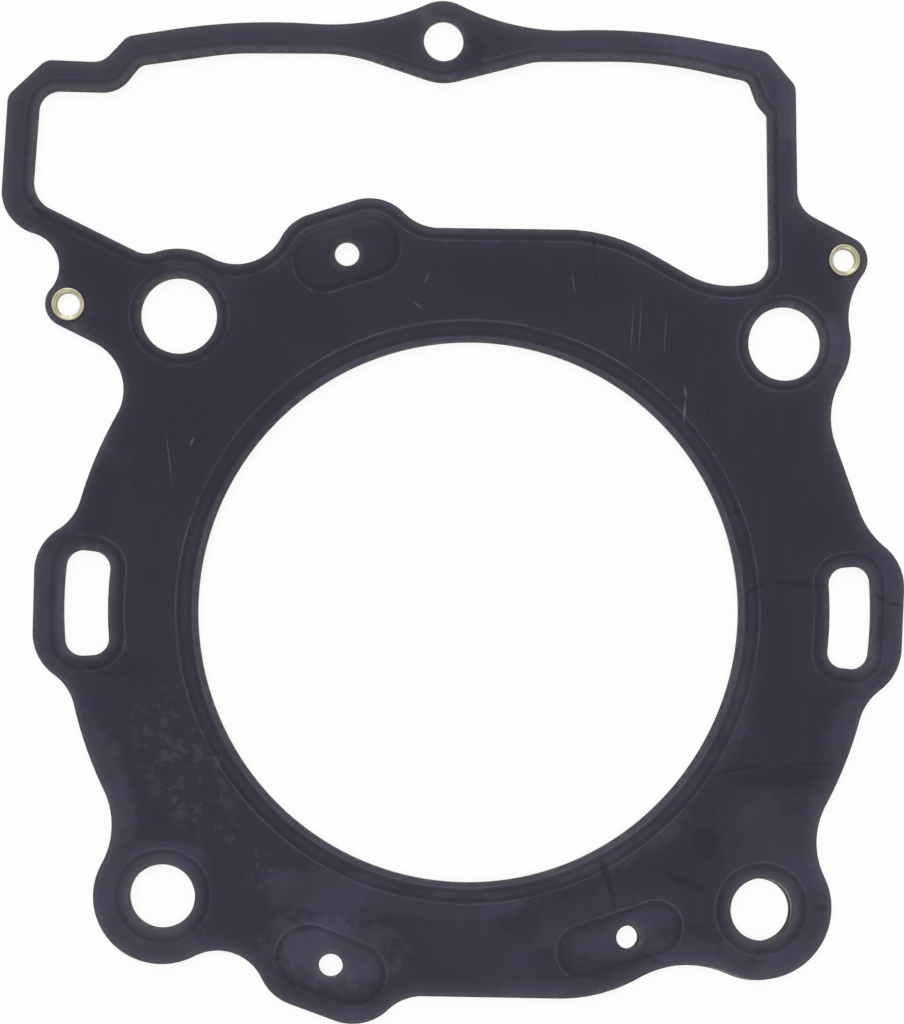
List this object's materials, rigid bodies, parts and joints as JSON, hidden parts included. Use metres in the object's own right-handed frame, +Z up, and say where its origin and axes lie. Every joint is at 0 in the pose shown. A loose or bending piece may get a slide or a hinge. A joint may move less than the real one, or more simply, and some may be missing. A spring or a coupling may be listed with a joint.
{
  "type": "cylinder head gasket",
  "caption": "Multi-layer steel cylinder head gasket for a large single-cylinder engine, with a wide bore, embossed sealing beads, bolt holes, coolant slots and a chain tunnel.",
  "frame": {"origin": "on the bore's axis, in the plane that the gasket rests on (the crowns of its lower beads)", "axes": "+Z up through the sheets, +Y from the bore towards the chain tunnel, +X towards the right-hand coolant slot"},
  "size_m": [0.1633, 0.1827, 0.0014],
  "materials": {
    "facing_coating": "satin dark aubergine-grey sealing coat on spring steel",
    "spacer_steel": "bare rolled steel, seen only at the cut edges",
    "eyelet_brass": "pale, slightly dull brass"
  },
  "bodies": {
    "root": {"top_facing_sheet": "facing_coating", "spacer_sheet": "spacer_steel", "bottom_facing_sheet": "facing_coating", "left_eyelet": "eyelet_brass", "right_eyelet": "eyelet_brass"}
  },
  "joints": []
}
